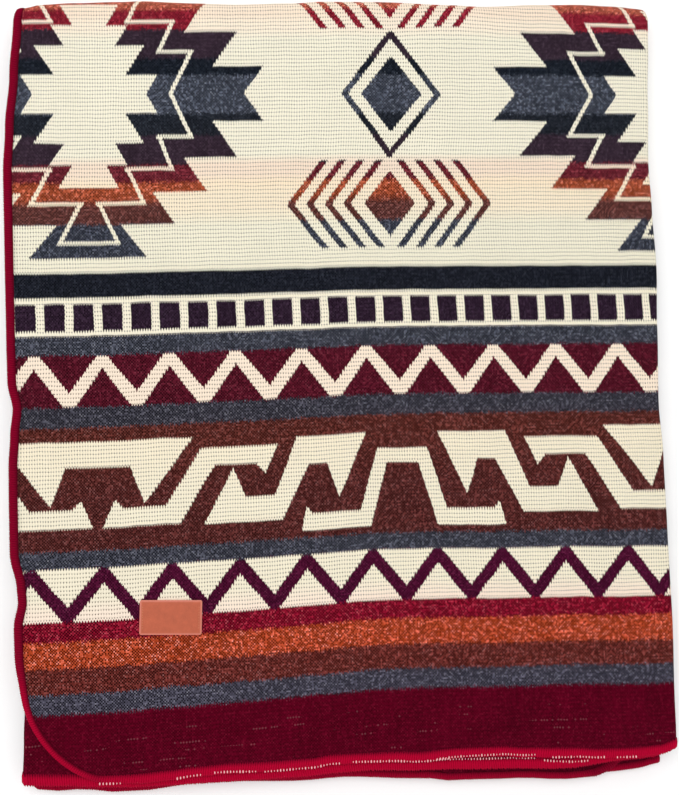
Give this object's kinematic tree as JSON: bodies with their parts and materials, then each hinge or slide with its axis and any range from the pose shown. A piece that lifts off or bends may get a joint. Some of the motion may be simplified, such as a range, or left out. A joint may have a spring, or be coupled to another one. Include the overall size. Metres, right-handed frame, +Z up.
{
  "type": "folded alpaca blanket",
  "caption": "Woven patterned alpaca blanket, folded in thirds and then in half, lying flat, with an overlocked edge all round and a plain leather label.",
  "frame": {"origin": "on the surface that the folded blanket lies on, under the middle of its box", "axes": "+Y along the length towards the lengthwise fold, +X across towards the side fold of the top layer, +Z up"},
  "size_m": [0.5846, 0.7044, 0.0316],
  "materials": {
    "woven_cloth": "brushed soft weave in cream, dark reds, rust, slate and near black",
    "edging": "crimson overlocked yarn",
    "label_leather": "smooth tan leather"
  },
  "bodies": {
    "root": {"blanket": "woven_cloth", "edge_binding": "edging", "leather_label": "label_leather"}
  },
  "joints": []
}
